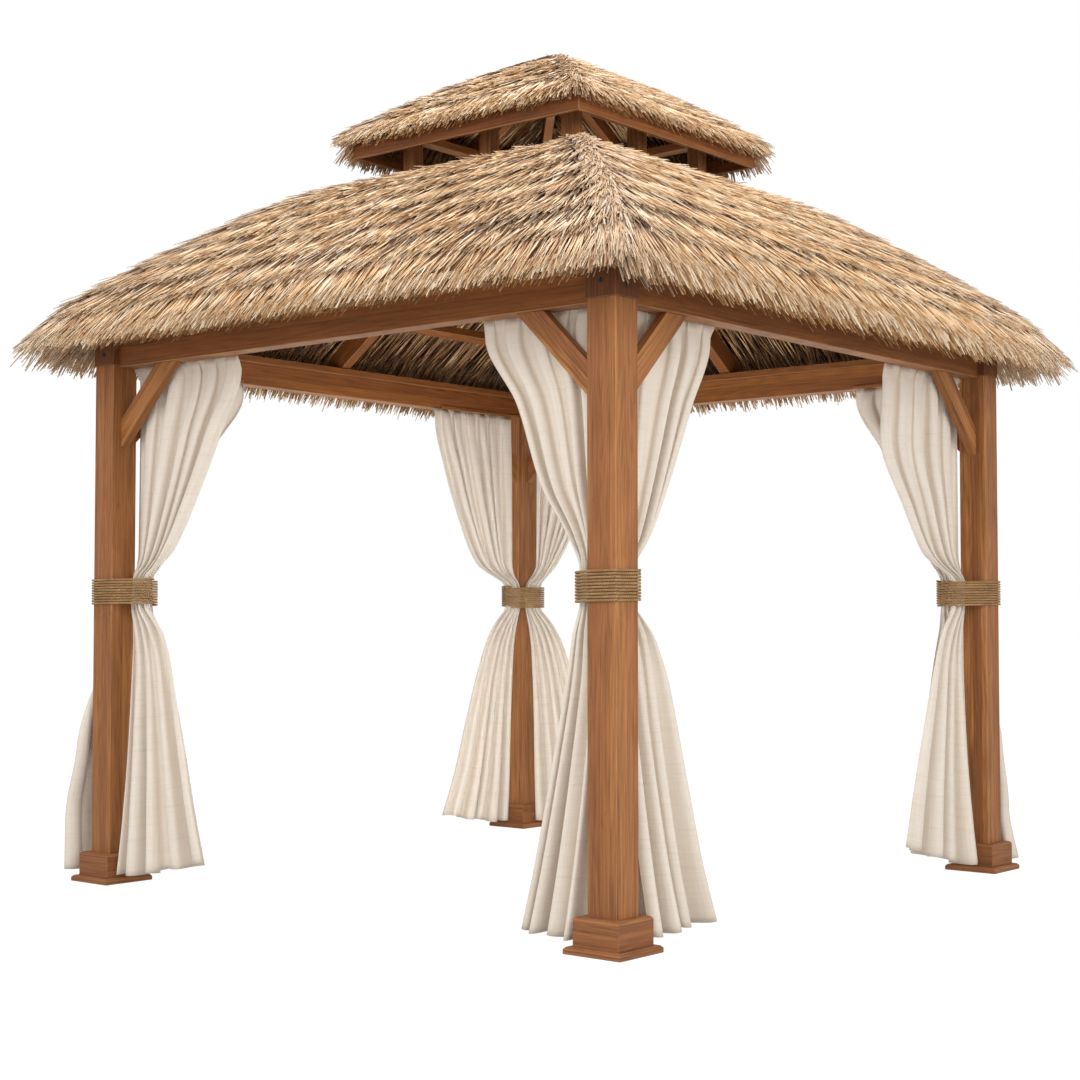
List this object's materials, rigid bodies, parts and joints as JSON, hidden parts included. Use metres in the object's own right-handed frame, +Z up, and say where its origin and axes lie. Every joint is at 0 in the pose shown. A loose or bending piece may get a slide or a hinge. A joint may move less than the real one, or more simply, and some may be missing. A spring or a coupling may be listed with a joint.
{
  "type": "gazebo",
  "caption": "Square timber gazebo with a thatched hip roof, a vented thatched cupola, knee-braced posts and linen curtains tied back with rope.",
  "frame": {"origin": "on the ground, at the centre of the square of posts", "axes": "+Z up; +X east and +Y north run along the beams; the picture looks from the south-east"},
  "size_m": [3.798, 3.798, 4.1181],
  "materials": {
    "timber": "oiled, satin",
    "plinth_wood": "oiled, satin",
    "thatch": "dry water reed",
    "linen": "undyed linen weave",
    "rope": "twisted natural fibre",
    "bolt_steel": "dark, satin"
  },
  "bodies": {
    "root": {"base_plate_se": "plinth_wood", "plinth_se": "plinth_wood", "post_se": "timber", "corner_cap_se": "timber", "rope_band_se": "rope", "base_plate_ne": "plinth_wood", "plinth_ne": "plinth_wood", "post_ne": "timber", "corner_cap_ne": "timber", "rope_band_ne": "rope", "base_plate_nw": "plinth_wood", "plinth_nw": "plinth_wood", "post_nw": "timber", "corner_cap_nw": "timber", "rope_band_nw": "rope", "base_plate_sw": "plinth_wood", "plinth_sw": "plinth_wood", "post_sw": "timber", "corner_cap_sw": "timber", "rope_band_sw": "rope", "beam_s": "timber", "thatch_s": "thatch", "cupola_thatch_s": "thatch", "beam_e": "timber", "thatch_e": "thatch", "cupola_thatch_e": "thatch", "beam_n": "timber", "thatch_n": "thatch", "cupola_thatch_n": "thatch", "beam_w": "timber", "thatch_w": "thatch", "cupola_thatch_w": "thatch", "brace_s_east": "timber", "curtain_s_east": "linen", "brace_s_west": "timber", "curtain_s_west": "linen", "brace_e_north": "timber", "curtain_e_north": "linen", "brace_e_south": "timber", "curtain_e_south": "linen", "brace_n_west": "timber", "curtain_n_west": "linen", "brace_n_east": "timber", "curtain_n_east": "linen", "brace_w_south": "timber", "curtain_w_south": "linen", "brace_w_north": "timber", "curtain_w_north": "linen", "wall_plates": "timber", "hip_rafters": "timber", "common_rafters": "timber", "purlins": "timber", "roof_curb": "timber", "cupola_posts": "timber", "cupola_plates": "timber", "cupola_rafters": "timber", "cupola_fascia": "timber", "king_block": "timber", "header_battens": "timber", "cap_bolts": "bolt_steel"}
  },
  "joints": []
}
